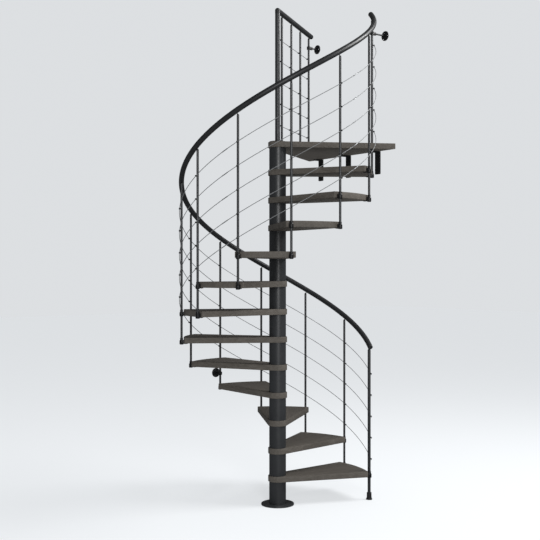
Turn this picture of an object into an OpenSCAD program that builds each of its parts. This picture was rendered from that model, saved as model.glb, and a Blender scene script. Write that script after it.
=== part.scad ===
// Spiral staircase: twelve wedge treads and a landing round a central column, with a helical
// handrail on slim balusters and five taut cables. Millimetres, +Z up. The origin is on the
// column axis, on the floor under the base plate. The landing reaches towards +X, to a wall.

/* [Stair] */
// Rise from the top of one tread to the top of the next
rise = 220; // [180:5:240]
// Turn from one baluster to the next, seen from above, counter-clockwise going up
step_angle = 29.43; // [26:0.01:33]
// Direction of the first baluster from the column axis
start_angle = -25.03; // [-40:0.01:-10]

/* [Treads] */
// Radius of the treads' outer edge
tread_radius = 742; // [600:1:900]
// Thickness of the treads and the landing
tread_thickness = 45; // [30:1:60]
// Radius of the round inner end that stacks on the column
hub_radius = 75; // [68:1:95]
// Angle by which a tread reaches past its balusters at each side
nosing_angle = 2.85; // [2.2:0.05:4]
// Radius of the treads' outer corners in plan
corner_radius = 10; // [4:1:16]

/* [Column] */
// Outer diameter of the column sleeves
column_diameter = 133; // [100:1:140]
// Wall of the column sleeves
column_wall = 3; // [2:0.5:8]
// Diameter of the inner pole
pole_diameter = 30; // [20:1:34]
// Length of the pole that stands up into the newel
pole_spigot = 60; // [20:5:200]
// Diameter of the base plate
base_diameter = 260; // [230:5:400]
// Thickness of the base plate
base_thickness = 12; // [8:1:25]
// Circle of the base plate's anchor holes
anchor_circle = 200; // [185:1:210]
// Diameter of the anchor holes
anchor_hole = 13; // [9:1:16]
// Number of anchor holes
anchor_count = 4; // [3:1:8]

/* [Landing] */
// Distance from the column axis to the landing's edge along the wall
landing_reach = 788; // [700:1:950]
// Distance from the column axis to the wall that the landing is fixed to
wall_distance = 792; // [705:1:960]
// Where the landing's rear corner lies along the wall
landing_rear = 560; // [540:5:700]
// Direction of the landing rail from the column axis
landing_rail_angle = 33.2; // [30:0.1:34]
// Diameter of the newel post on the landing
newel_diameter = 40; // [36:1:48]
// Wall of the newel post
newel_wall = 2.5; // [2:0.5:4]
// Diameter of the newel's foot disc
newel_disc_diameter = 132; // [100:1:150]
// Thickness of the newel's foot disc
newel_disc_thickness = 6; // [5:1:15]
// Height of the landing rail's centre line over the landing
landing_rail_height = 1046.5; // [900:0.5:1150]
// Length of the landing rail from the column axis to its end
landing_rail_length = 903; // [880:1:940]
// Distance of the first landing baluster from the column axis
landing_baluster_first = 104; // [100:1:120]
// Distance from one landing baluster to the next
landing_baluster_step = 241; // [200:1:245]
// Number of landing balusters
landing_baluster_count = 4; // [2:1:4]

/* [Railing] */
// Diameter of the balusters
baluster_diameter = 18; // [14:0.5:22]
// Diameter of the first baluster, which stands on the floor
first_baluster_diameter = 25; // [20:0.5:27]
// Wall of the baluster tubes
baluster_wall = 1.5; // [1:0.25:3]
// Free gap between the treads' edge and the balusters
baluster_gap = 9; // [6:0.5:15]
// Diameter of the handrail
rail_diameter = 41; // [34:1:50]
// Height of the handrail's centre line at the first baluster
rail_start_height = 1253; // [1100:1:1400]
// Length by which the handrail runs past its first baluster
rail_start_overrun = 35; // [22:1:80]
// Length by which the handrail runs past its last baluster
rail_end_overrun = 50; // [22:1:80]
// How much smaller in radius the ball that closes a baluster's top is than the baluster
cap_inset = 0.5; // [0:0.25:1]
// Length of the pin that shows between that ball and the handrail
cap_pin_length = 6; // [2:0.5:10]
// Diameter of that pin
cap_pin_diameter = 7; // [5:0.5:10]

/* [Cables] */
// Diameter of the cables
cable_diameter = 5; // [3:0.5:8]
// Number of cables
cable_count = 5; // [3:1:5]
// Height from one cable to the next
cable_spacing = 172.5; // [140:0.5:175]
// Height of the handrail's centre line over the top cable
cable_drop = 235; // [200:1:280]
// Height of the landing rail's centre line over its top cable
landing_cable_drop = 209.5; // [180:0.5:230]
// Distance from the baluster axes out to the cables
cable_offset = 15.5; // [15.5:0.5:20]
// Diameter of the clips that hold the cables
clip_diameter = 12; // [10:0.5:16]
// Length of a cable past its first and last clips
cable_tail = 12; // [8:1:30]

/* [Fittings] */
// Wall of the clamp rings round the balusters
clamp_wall = 7; // [4:0.5:10]
// Height of the clamp rings
clamp_height = 36; // [28:1:40]
// Length of the clamp rings below their treads
clamp_drop = 10; // [7:1:16]
// Wall of the thin neck on top of a clamp ring
clamp_neck_wall = 2.5; // [1.5:0.5:4]
// Distance of the neck's end below the tread's top
clamp_recess = 3; // [1:1:8]
// Width of the clamp blocks on the treads' edges
clamp_width = 28; // [20:1:40]
// Thickness of the clamps' tongues under the treads
clamp_tongue = 5; // [3:0.5:7]
// Reach of the tongues from the baluster axes towards the column
clamp_reach = 48; // [40:1:70]
// Diameter of the screw holes in the tongues
clamp_screw_hole = 5; // [4:0.5:6]
// Floor of the lower clamps' sockets
clamp_floor = 4; // [2:0.5:6]
// Height of the rubber foot under the first baluster
foot_height = 59; // [40:1:90]
// Diameter of that foot on the floor
foot_diameter = 50; // [44:1:70]
// Height of the flare at that foot's bottom
foot_flare = 18; // [12:1:24]
// Diameter of that foot at its top
foot_top_diameter = 38; // [36:1:44]
// Diameter of the landing balusters' foot discs
landing_foot_diameter = 36; // [30:1:48]
// Height of the landing balusters' foot discs
landing_foot_height = 10; // [6:1:20]

/* [Wall fixings] */
// Distance from the column axis to the side wall, towards +Y
side_wall_distance = 827; // [810:1:920]
// Baluster that is held to the side wall
side_fixing_baluster = 4; // [4:1:4]
// Height of the side wall fixing over that baluster's tread
side_fixing_rise = 84; // [50:1:150]
// Height of the handrail's centre line over the fixing of the stair's last baluster
stair_fixing_drop = 138; // [100:1:200]
// Height of the landing rail's centre line over the fixing of the landing's last baluster
landing_fixing_drop = 113.5; // [90:0.5:180]
// Diameter of the wall rosettes
rosette_diameter = 79; // [60:1:100]
// Thickness of the wall rosettes
rosette_thickness = 6; // [4:1:10]
// Circle of the screw holes in a rosette
rosette_hole_circle = 54; // [40:1:60]
// Diameter of the screw holes in a rosette
rosette_hole = 5.5; // [4:0.5:7]
// Width of the landing brackets
bracket_width = 60; // [40:1:90]
// Thickness of the landing brackets
bracket_thickness = 8; // [5:1:12]
// Drop of the landing brackets below the landing
bracket_drop = 186; // [120:1:240]
// Reach of the landing brackets from the wall, under the landing
bracket_reach = 68; // [50:1:120]
// Diameter of the bolt holes in the landing brackets' wall legs
bracket_hole = 11; // [8:1:14]
// Distance between those two holes
bracket_hole_spacing = 90; // [60:1:100]

/* [Hidden] */
TREADS = ["tread_01", "tread_02", "tread_03", "tread_04", "tread_05", "tread_06",
    "tread_07", "tread_08", "tread_09", "tread_10", "tread_11", "tread_12"];
BALUSTERS = ["baluster_00", "baluster_01", "baluster_02", "baluster_03", "baluster_04",
    "baluster_05", "baluster_06", "baluster_07", "baluster_08", "baluster_09",
    "baluster_10", "baluster_11", "baluster_12"];

tread_count = len(TREADS);
last_baluster = tread_count;
landing_level = tread_count + 1;
// Clearances: round a tube in its clamp, of a pole in its bores, of a cable in its clips, and
// where a curve is met
tube_fit = 0.2;
pole_fit = 0.25;
cable_fit = 0.4;
seat_gap = 0.2;
// Straight sides run this far inside the round ends, so that the two outlines cross cleanly
seam = 0.02;
baluster_circle = tread_radius + baluster_gap + baluster_diameter / 2;
rail_radius = rail_diameter / 2;
cable_circle = baluster_circle + cable_offset;
pole_bore = pole_diameter / 2 + pole_fit;
landing_top = base_thickness + rise * landing_level;
landing_bottom = landing_top - tread_thickness;
landing_rail_z = landing_top + landing_rail_height;
newel_foot_z = landing_top + newel_disc_thickness;
// The landing rail's elbow covers the newel's end, down to this depth below the centre line
elbow_depth = 24;
// The last baluster passes up through the landing in a bush
bush_wall = 3;
bush_flange = 4;
bush_lip = 2.5;
bush_radius = baluster_diameter / 2 + tube_fit + bush_wall;
landing_foot_floor = 2;
landing_bracket_y = [400, 40, -318];
rail_steps = 6;
rail_sides = 20;
cable_sides = 8;
black = "#1c1d1e";
anthracite = "#3c3e40";
stained_wood = "#5a554f";
stainless = "#b9bcbe";
$fn = 64;

function baluster_angle(k) = start_angle + step_angle * k;
function tread_top(k) = base_thickness + rise * k;
function rail_z(k) = rail_start_height + rise * k;
function helix_slope(radius) = atan(rise / (radius * step_angle * PI / 180));
function baluster_size(k) = k == 0 ? first_baluster_diameter : baluster_diameter;
// Ends of the tangents from a point at distance d and direction a to the hub circle
function hub_tangent(d, a, side) = a + side * acos(hub_radius / d);
function on_circle(radius, a) = [radius * cos(a), radius * sin(a)];
// An arc's length as a fraction of the turn from one baluster to the next
function steps_along(length, radius) = length / radius * 180 / PI / step_angle;
function cap_radius(size) = size / 2 - cap_inset;
// Distance below a rail's centre line at which a baluster of that diameter ends
function cap_drop(slope, size) = (rail_radius + cap_pin_length + cap_radius(size)) / cos(slope);

landing_baluster_top = landing_rail_z - cap_drop(0, baluster_diameter);
side_fixing_point = on_circle(baluster_circle, baluster_angle(side_fixing_baluster));
stair_fixing_point = on_circle(baluster_circle, baluster_angle(last_baluster));
landing_fixing_point = on_circle(landing_baluster_first
    + landing_baluster_step * (landing_baluster_count - 1), landing_rail_angle);
side_fixing_height = tread_top(side_fixing_baluster) + side_fixing_rise;
stair_fixing_height = rail_z(last_baluster) - stair_fixing_drop;
landing_fixing_height = landing_rail_z - landing_fixing_drop;

// One ring of a tube swept along the stair's helix, at height fraction k of the stair
function helix_ring(k, radius, z0, tube_radius, sides) =
    let (a = baluster_angle(k), s = helix_slope(radius))
    [for (i = [0:sides - 1])
        let (u = tube_radius * cos(i * 360 / sides), v = tube_radius * sin(i * 360 / sides))
        [(radius + u) * cos(a) + v * sin(s) * sin(a),
         (radius + u) * sin(a) - v * sin(s) * cos(a),
         z0 + rise * k + v * cos(s)]];

// A round tube along the helix, from height fraction k0 to k1, z0 high at the first baluster
module helix_tube(radius, z0, tube_radius, sides, k0, k1) {
    inner_steps = rail_steps * last_baluster;
    stations = concat([k0], [for (i = [0:inner_steps]) i / rail_steps], [k1]);
    points = [for (k = stations) each helix_ring(k, radius, z0, tube_radius, sides)];
    last = (len(stations) - 1) * sides;
    walls = [for (i = [0:len(stations) - 2], j = [0:sides - 1])
        let (a = i * sides + j, b = i * sides + (j + 1) % sides)
        each [[a, b, b + sides], [a, b + sides, a + sides]]];
    ends = [[for (j = [sides - 1:-1:0]) j], [for (j = [0:sides - 1]) last + j]];
    polyhedron(points, concat(walls, ends));
}

// Places its children at a stair baluster, with +X pointing away from the column
module at_baluster(k) {
    rotate([0, 0, baluster_angle(k)]) translate([baluster_circle, 0, 0]) children();
}

// Places its children on the landing rail's line, with +X pointing to the outer side
module at_landing_baluster(i) {
    rotate([0, 0, landing_rail_angle])
        translate([landing_baluster_first + landing_baluster_step * i, 0, 0])
            rotate([0, 0, 90]) children();
}

module tube(radius, wall, length) {
    difference() {
        cylinder(r = radius, h = length);
        translate([0, 0, -1]) cylinder(r = radius - wall, h = length + 2);
    }
}

// Plan of a tread: hub circle, straight sides tangent to it, round corners, arc edge
module tread_plan() {
    half = step_angle / 2 + nosing_angle;
    side_a = hub_tangent(tread_radius, half, 1);
    corner_d = tread_radius - corner_radius - seam;
    // The corner circle touches the straight side, which lies hub_radius from the axis
    corner_a = side_a - acos((hub_radius - corner_radius) / corner_d);
    corner = on_circle(corner_d, corner_a);
    foot = corner + on_circle(corner_radius - seam, side_a);
    beyond = on_circle(tread_radius * 1.2, corner_a);
    tangent = on_circle(hub_radius - seam, side_a);
    union() {
        circle(r = hub_radius, $fn = 96);
        intersection() {
            circle(r = tread_radius, $fn = 360);
            polygon([tangent, foot, corner, beyond,
                [beyond[0], -beyond[1]], [corner[0], -corner[1]],
                [foot[0], -foot[1]], [tangent[0], -tangent[1]]]);
        }
        translate(corner) circle(r = corner_radius, $fn = 48);
        translate([corner[0], -corner[1]]) circle(r = corner_radius, $fn = 48);
    }
}

module base_plate() {
    color(anthracite) difference() {
        cylinder(d = base_diameter, h = base_thickness, $fn = 128);
        for (i = [0:anchor_count - 1])
            rotate([0, 0, (i + 0.5) * 360 / anchor_count])
                translate([anchor_circle / 2, 0, -1])
                    cylinder(d = anchor_hole, h = base_thickness + 2);
    }
}

module centre_pole() {
    color(anthracite) translate([0, 0, base_thickness])
        cylinder(d = pole_diameter, h = newel_foot_z + pole_spigot - base_thickness);
}

// One sleeve between the base plate and the first tread, and one below each level above
module column_sleeves() {
    color(anthracite) for (k = [1:landing_level])
        translate([0, 0, tread_top(k - 1)])
            tube(column_diameter / 2, column_wall, rise - tread_thickness, $fn = 128);
}

module tread(k) {
    color(stained_wood)
        translate([0, 0, tread_top(k) - tread_thickness])
            rotate([0, 0, baluster_angle(k - 0.5)])
                linear_extrude(tread_thickness) difference() {
                    tread_plan();
                    circle(r = pole_bore);
                }
}

// Plan of the landing: its nose follows a tread's, and its far edge runs along the wall
module landing_plan() {
    nose_angle = baluster_angle(last_baluster) - 360 - nosing_angle;
    nose_tangent = hub_tangent(tread_radius, nose_angle, -1);
    nose_start = on_circle(hub_radius - seam, nose_tangent);
    nose_y = (hub_radius - seam - landing_reach * cos(nose_tangent)) / sin(nose_tangent);
    rear_corner = [landing_reach, landing_rear];
    rear_tangent = hub_tangent(norm(rear_corner), atan2(landing_rear, landing_reach), 1);
    union() {
        circle(r = hub_radius, $fn = 96);
        polygon([nose_start, [landing_reach, nose_y], rear_corner,
            on_circle(hub_radius - seam, rear_tangent)]);
    }
}

module landing() {
    color(stained_wood) translate([0, 0, landing_bottom]) difference() {
        linear_extrude(tread_thickness) difference() {
            landing_plan();
            circle(r = pole_bore);
        }
        at_baluster(last_baluster) translate([0, 0, -1])
            cylinder(r = bush_radius + tube_fit, h = tread_thickness + 2);
    }
}

// Each baluster stands in the socket of its lower clamp, and the first in the rubber foot
function baluster_bottom(k) = k == 0 ? clamp_floor
    : tread_top(k) - tread_thickness - clamp_drop + clamp_floor;
function baluster_top(k) = rail_z(k) - cap_drop(helix_slope(baluster_circle), baluster_size(k));

module baluster(k) {
    z = baluster_bottom(k);
    color(anthracite) at_baluster(k) translate([0, 0, z])
        tube(baluster_size(k) / 2, baluster_wall, baluster_top(k) - z);
}

module start_foot() {
    bore = first_baluster_diameter / 2 + tube_fit;
    lip = 6;
    color(black) at_baluster(0) rotate_extrude()
        polygon([[0, 0], [foot_diameter / 2, 0], [foot_diameter / 2, lip],
            [foot_top_diameter / 2 + 1, foot_flare],
            [foot_top_diameter / 2, foot_height - lip / 2],
            [foot_top_diameter / 2 - lip / 2, foot_height],
            [bore, foot_height], [bore, clamp_floor], [0, clamp_floor]]);
}

module handrail() {
    color(black) helix_tube(baluster_circle, rail_start_height, rail_radius, rail_sides,
        -steps_along(rail_start_overrun, baluster_circle),
        last_baluster + steps_along(rail_end_overrun, baluster_circle));
}

module newel() {
    color(anthracite) translate([0, 0, newel_foot_z])
        tube(newel_diameter / 2, newel_wall, landing_rail_z - elbow_depth - newel_foot_z);
}

module newel_disc() {
    color(black) translate([0, 0, landing_top]) difference() {
        cylinder(d = newel_disc_diameter, h = newel_disc_thickness, $fn = 96);
        translate([0, 0, -1]) cylinder(r = pole_bore, h = newel_disc_thickness + 2);
    }
}

// Straight rail along the landing's open side, with a round elbow over the newel
module landing_rail() {
    color(black) translate([0, 0, landing_rail_z]) rotate([0, 0, landing_rail_angle]) union() {
        sphere(r = rail_radius);
        translate([0, 0, -elbow_depth]) cylinder(r = rail_radius, h = elbow_depth);
        rotate([0, 90, 0]) cylinder(r = rail_radius, h = landing_rail_length);
    }
}

module landing_balusters() {
    top = landing_baluster_top;
    bottom = landing_top + landing_foot_floor;
    color(anthracite) for (i = [0:landing_baluster_count - 1])
        at_landing_baluster(i) translate([0, 0, bottom])
            tube(baluster_diameter / 2, baluster_wall, top - bottom);
}

module landing_feet() {
    color(black) for (i = [0:landing_baluster_count - 1])
        at_landing_baluster(i) translate([0, 0, landing_top]) difference() {
            cylinder(d = landing_foot_diameter, h = landing_foot_height);
            translate([0, 0, landing_foot_floor])
                cylinder(r = baluster_diameter / 2 + tube_fit, h = landing_foot_height);
        }
}

// Half ball on a tube's end, with a pin that leans with the rail and meets it squarely
module rail_cap(slope, size) {
    ball = cap_radius(size);
    union() {
        difference() {
            sphere(r = ball);
            translate([-size, -size, -2 * size]) cube([2 * size, 2 * size, 2 * size]);
        }
        rotate([slope, 0, 0])
            cylinder(d = cap_pin_diameter, h = ball + cap_pin_length - seat_gap);
    }
}

module rail_caps() {
    slope = helix_slope(baluster_circle);
    color(black) {
        for (k = [0:last_baluster])
            at_baluster(k) translate([0, 0, baluster_top(k)]) rail_cap(slope, baluster_size(k));
        for (i = [0:landing_baluster_count - 1])
            at_landing_baluster(i) translate([0, 0, landing_baluster_top])
                rail_cap(0, baluster_diameter);
    }
}

// A clamp cast in one piece: a ring round the baluster with a neck on top, a block on the
// tread's outer edge, and a tongue that is screwed to its underside. A socket has a floor
// that carries the baluster's end
module tread_clamp(k, level, socket) {
    bore = baluster_size(k) / 2 + tube_fit;
    height = tread_thickness - clamp_recess + clamp_drop;
    block_depth = baluster_circle - tread_radius + 5;
    screw_x = (tread_radius - baluster_circle - clamp_reach) / 2;
    at_baluster(k) translate([0, 0, tread_top(level) - tread_thickness - clamp_drop]) difference() {
        union() {
            cylinder(r = bore + clamp_wall, h = clamp_height);
            cylinder(r = bore + clamp_neck_wall, h = height);
            translate([-block_depth, -clamp_width / 2, clamp_drop - clamp_tongue])
                cube([block_depth, clamp_width, clamp_height - clamp_drop + clamp_tongue]);
            translate([-clamp_reach, -clamp_width / 2, clamp_drop - clamp_tongue])
                cube([clamp_reach, clamp_width, clamp_tongue]);
        }
        translate([0, 0, socket ? clamp_floor : -1]) cylinder(r = bore, h = height + 2);
        translate([-baluster_circle, 0, clamp_drop])
            cylinder(r = tread_radius + seat_gap, h = height, $fn = 360);
        translate([screw_x, 0, -1]) cylinder(d = clamp_screw_hole, h = height);
    }
}

module tread_clamps() {
    color(black) {
        for (k = [0:last_baluster - 1]) tread_clamp(k, k + 1, false);
        for (k = [1:last_baluster]) tread_clamp(k, k, true);
        landing_bush();
    }
}

module landing_bush() {
    length = bush_flange + tread_thickness + bush_lip;
    at_baluster(last_baluster) translate([0, 0, landing_bottom - bush_flange]) difference() {
        union() {
            cylinder(r = bush_radius, h = length);
            cylinder(r = bush_radius + bush_wall, h = bush_flange);
            translate([0, 0, length - bush_lip])
                cylinder(r = bush_radius + bush_wall, h = bush_lip);
        }
        translate([0, 0, -1])
            cylinder(r = baluster_diameter / 2 + tube_fit, h = length + 2);
    }
}

// A clip on a baluster's outer side, bored for the cable, which climbs at the given slope
module cable_clip(size, slope) {
    reach = cable_offset + clip_diameter / 2;
    difference() {
        rotate([0, 90, 0]) cylinder(d = clip_diameter, h = reach);
        translate([0, 0, -clip_diameter]) cylinder(d = size + 2 * seat_gap, h = 2 * clip_diameter);
        translate([cable_offset, 0, 0]) rotate([slope - 90, 0, 0])
            translate([0, 0, -clip_diameter])
                cylinder(d = cable_diameter + 2 * cable_fit, h = 2 * clip_diameter);
    }
}

function cable_z(j) = rail_start_height - cable_drop - cable_spacing * j;
function landing_cable_z(j) = landing_rail_z - landing_cable_drop - cable_spacing * j;

module cable_clips() {
    slope = helix_slope(cable_circle);
    color(black) for (j = [0:cable_count - 1]) {
        for (k = [0:last_baluster])
            at_baluster(k) translate([0, 0, cable_z(j) + rise * k])
                cable_clip(baluster_size(k), slope);
        for (i = [0:landing_baluster_count - 1])
            at_landing_baluster(i) translate([0, 0, landing_cable_z(j)])
                cable_clip(baluster_diameter, 0);
    }
}

module stair_cables() {
    tail = steps_along(cable_tail, cable_circle);
    color(stainless) for (j = [0:cable_count - 1])
        helix_tube(cable_circle, cable_z(j), cable_diameter / 2, cable_sides,
            -tail, last_baluster + tail);
}

module landing_cables() {
    run = landing_baluster_step * (landing_baluster_count - 1) + 2 * cable_tail;
    color(stainless) for (j = [0:cable_count - 1])
        at_landing_baluster(0) translate([cable_offset, cable_tail, landing_cable_z(j)])
            rotate([90, 0, 0]) cylinder(d = cable_diameter, h = run);
}

// Clamp ring on a baluster, a lug with a cross bolt, and an arm to a rosette on the wall.
// The arm points along +X, and the wall is reach away from the baluster's axis
module wall_bracket(reach) {
    bore = baluster_diameter / 2 + tube_fit;
    ring = bore + clamp_wall;
    ring_height = 26;
    lug_end = 40;
    lug_width = 16;
    bolt_x = 32;
    arm_radius = 6.5;
    difference() {
        union() {
            translate([0, 0, -ring_height / 2]) cylinder(r = ring, h = ring_height);
            translate([bore, -lug_width / 2, -ring_height / 2])
                cube([lug_end - bore, lug_width, ring_height]);
            translate([bolt_x, lug_width / 2 + 4, 0]) rotate([90, 0, 0])
                cylinder(r = 5, h = lug_width + 8);
            translate([lug_end - 1, 0, 0]) rotate([0, 90, 0])
                cylinder(r = arm_radius, h = reach - lug_end + 1);
            translate([reach - rosette_thickness, 0, 0]) rotate([0, 90, 0])
                cylinder(d = rosette_diameter, h = rosette_thickness, $fn = 96);
        }
        translate([0, 0, -ring_height]) cylinder(r = bore, h = 2 * ring_height);
        for (i = [0:2]) translate([reach - rosette_thickness - 1, 0, 0]) rotate([0, 90, 0])
            rotate([0, 0, 120 * i - 90]) translate([rosette_hole_circle / 2, 0, 0])
                cylinder(d = rosette_hole, h = rosette_thickness + 2);
    }
}

module wall_bracket_side() {
    color(black) translate([side_fixing_point[0], side_fixing_point[1], side_fixing_height])
        rotate([0, 0, 90]) wall_bracket(side_wall_distance - side_fixing_point[1]);
}

module wall_bracket_stair() {
    color(black) translate([stair_fixing_point[0], stair_fixing_point[1], stair_fixing_height])
        wall_bracket(wall_distance - stair_fixing_point[0]);
}

module wall_bracket_landing() {
    color(black)
        translate([landing_fixing_point[0], landing_fixing_point[1], landing_fixing_height])
            wall_bracket(wall_distance - landing_fixing_point[0]);
}

// Angle brackets under the landing: one leg on the wall, one under the landing's edge
module landing_bracket() {
    translate([wall_distance - bracket_reach, -bracket_width / 2, landing_bottom - bracket_thickness])
        difference() {
            union() {
                cube([bracket_reach, bracket_width, bracket_thickness]);
                translate([bracket_reach - bracket_thickness, 0, bracket_thickness - bracket_drop])
                    cube([bracket_thickness, bracket_width, bracket_drop]);
            }
            for (i = [0, 1])
                translate([bracket_reach - bracket_thickness - 1, bracket_width / 2,
                    (bracket_thickness - bracket_drop) / 2 - bracket_hole_spacing * (i - 0.5)])
                    rotate([0, 90, 0]) cylinder(d = bracket_hole, h = bracket_thickness + 2);
        }
}

module landing_brackets() {
    color(black) for (y = landing_bracket_y) translate([0, y, 0]) landing_bracket();
}

base_plate();
centre_pole();
column_sleeves();
for (k = [1:tread_count]) tread(k);
landing();
for (k = [0:last_baluster]) baluster(k);
start_foot();
handrail();
newel();
newel_disc();
landing_rail();
landing_balusters();
landing_feet();
rail_caps();
tread_clamps();
cable_clips();
stair_cables();
landing_cables();
wall_bracket_side();
wall_bracket_stair();
wall_bracket_landing();
landing_brackets();
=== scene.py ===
"""A spiral staircase of stained wood and coated steel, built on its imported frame. Metres, +Z up."""
import math

import bpy
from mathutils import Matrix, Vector


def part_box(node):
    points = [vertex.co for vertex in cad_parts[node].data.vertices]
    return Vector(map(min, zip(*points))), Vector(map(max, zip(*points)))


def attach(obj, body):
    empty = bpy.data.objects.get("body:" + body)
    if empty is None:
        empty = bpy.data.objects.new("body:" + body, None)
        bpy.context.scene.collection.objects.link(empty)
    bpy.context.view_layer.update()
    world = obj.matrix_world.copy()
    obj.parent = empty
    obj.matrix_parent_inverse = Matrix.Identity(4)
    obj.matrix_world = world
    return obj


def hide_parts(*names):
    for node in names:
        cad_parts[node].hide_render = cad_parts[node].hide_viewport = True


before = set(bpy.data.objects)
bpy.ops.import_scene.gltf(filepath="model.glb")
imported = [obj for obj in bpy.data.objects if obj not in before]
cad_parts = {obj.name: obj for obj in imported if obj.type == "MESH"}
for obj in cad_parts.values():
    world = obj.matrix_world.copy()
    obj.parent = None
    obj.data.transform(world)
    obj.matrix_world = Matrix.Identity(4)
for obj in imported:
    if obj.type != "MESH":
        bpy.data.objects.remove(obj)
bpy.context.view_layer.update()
MM = 0.001

# ---------------------------------------------------------------- camera and studio
# The camera stands at eye height in front of the stair and looks level. The stair stands on a
# pale seamless floor, under a tall key light beside the camera, a high side light and a pale surround.
bpy.ops.object.camera_add(
    location=(-4.528, -5.887, 1.854), rotation=(math.radians(90), 0, math.radians(-37.1)))
camera = bpy.context.object
camera.name = "camera"
camera.data.lens = 62.39
camera.data.sensor_width = 36
camera.data.shift_y = 0.0012
bpy.context.scene.camera = camera


def add_node(tree, kind, inputs=None, **settings):
    """Adds a shader node. An input is given a value, or the output socket that feeds it."""
    made = tree.nodes.new(kind)
    for key, value in settings.items():
        setattr(made, key, value)
    for key, value in (inputs or {}).items():
        if isinstance(value, bpy.types.NodeSocket):
            tree.links.new(value, made.inputs[key])
        else:
            made.inputs[key].default_value = value
    return made


def new_material(name):
    """A material with its default shader, and that shader's node."""
    material = bpy.data.materials.new(name)
    material.use_nodes = True
    return material, material.node_tree, material.node_tree.nodes["Principled BSDF"]


bpy.ops.mesh.primitive_plane_add(size=60)
floor = bpy.context.object
floor.name = "studio_floor"
pale_floor, floor_tree, floor_shader = new_material("pale_studio_floor")
floor_shader.inputs["Base Color"].default_value = (0.30, 0.307, 0.313, 1)
floor_shader.inputs["Emission Color"].default_value = (0.95, 0.975, 1.0, 1)
floor_shader.inputs["Emission Strength"].default_value = 0.605
floor_shader.inputs["Roughness"].default_value = 0.75
floor_shader.inputs["Specular IOR Level"].default_value = 0.2
floor.data.materials.append(pale_floor)

world = bpy.data.worlds.new("pale_surround")
bpy.context.scene.world = world
world.use_nodes = True
surround = world.node_tree.nodes["Background"]
surround.inputs["Color"].default_value = (0.95, 0.975, 1.0, 1)
# Seen directly the surround is near white, but dark steel reflects a much darker studio
rays = add_node(world.node_tree, "ShaderNodeLightPath")
seen = add_node(world.node_tree, "ShaderNodeMath", {0: rays.outputs["Is Camera Ray"], 1: 0.20,
                                                    2: 0.56}, operation="MULTIPLY_ADD")
reflected = add_node(world.node_tree, "ShaderNodeMath", {0: rays.outputs["Is Glossy Ray"],
                                                         1: -0.48, 2: seen.outputs["Value"]},
                     operation="MULTIPLY_ADD")
world.node_tree.links.new(reflected.outputs["Value"], surround.inputs["Strength"])
floor.visible_glossy = False
bpy.context.scene.view_settings.view_transform = "Standard"

for name, place, aim, width, height, power in (
        ("key_light", (-3.1, -6.3, 3.4), (0.0, 0.0, 2.0), 1.6, 3.6, 260),
        ("side_light", (3.3, -2.3, 5.6), (0.2, 0.0, 0.6), 2.5, 2.5, 330)):
    bpy.ops.object.light_add(type="AREA", location=place)
    light = bpy.context.object
    light.name = name
    light.data.shape = "RECTANGLE"
    light.data.size = width
    light.data.size_y = height
    light.data.energy = power
    light.rotation_euler = (Vector(aim) - Vector(place)).to_track_quat("-Z", "Y").to_euler()

# ---------------------------------------------------------------- base plate
# A turned steel disc that the column stands on, with its edge chamfered and four holes for
# floor anchors. It is coated anthracite like the column, balusters and newel.
plate_low, plate_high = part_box("base_plate")
plate_radius = plate_high.x
plate_top = plate_high.z
ANCHOR_CIRCLE = 200 * MM
ANCHOR_HOLE = 13 * MM


def turned(name, profile, sides=64):
    """Spins a profile of (radius, height) points about the Z axis, as a lathe turns a piece."""
    bpy.ops.object.select_all(action="DESELECT")
    bpy.context.tool_settings.mesh_select_mode = (True, False, False)
    bpy.ops.mesh.primitive_plane_add(size=MM)
    piece = bpy.context.object
    piece.name = name
    bpy.ops.object.mode_set(mode="EDIT")
    bpy.ops.mesh.merge(type="CENTER")
    bpy.ops.transform.translate(value=(profile[0][0], 0, profile[0][1]))
    for (r0, z0), (r1, z1) in zip(profile, profile[1:]):
        bpy.ops.mesh.extrude_vertices_move(
            TRANSFORM_OT_translate={"value": (r1 - r0, 0, z1 - z0)})
    bpy.ops.mesh.select_all(action="SELECT")
    bpy.ops.mesh.spin(steps=sides, angle=math.tau, center=(0, 0, 0), axis=(0, 0, 1))
    bpy.ops.mesh.select_all(action="SELECT")
    bpy.ops.mesh.remove_doubles(threshold=0.01 * MM)
    bpy.ops.mesh.normals_make_consistent(inside=False)
    bpy.ops.object.mode_set(mode="OBJECT")
    return piece


def combine(piece, other, operation):
    """Joins another solid to a piece, or cuts the piece with it. The other one is used up."""
    modifier = piece.modifiers.new("combine", "BOOLEAN")
    modifier.operation = operation
    modifier.solver = "EXACT"
    modifier.object = other
    bpy.context.view_layer.objects.active = piece
    bpy.ops.object.modifier_apply(modifier=modifier.name)
    bpy.data.objects.remove(other)


def rod(radius, start, end, sides=32):
    """A solid rod between two points."""
    line = Vector(end) - Vector(start)
    bpy.ops.object.select_all(action="DESELECT")
    bpy.ops.mesh.primitive_cylinder_add(
        vertices=sides, radius=radius, depth=line.length,
        location=(Vector(start) + Vector(end)) / 2,
        rotation=line.to_track_quat("Z", "Y").to_euler())
    bpy.ops.object.transform_apply(location=True, rotation=True, scale=True)
    return bpy.context.object


def fit(piece, slot, *nodes):
    """Sets a finished piece in the frame, in place of its CAD nodes. The slot it is given is not used.
    """
    bpy.ops.object.select_all(action="DESELECT")
    piece.select_set(True)
    bpy.context.view_layer.objects.active = piece
    bpy.ops.object.transform_apply(location=True, rotation=True, scale=True)
    bpy.ops.object.shade_smooth_by_angle(angle=math.radians(38))
    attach(piece, "root")
    if nodes:
        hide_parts(*nodes)


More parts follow.
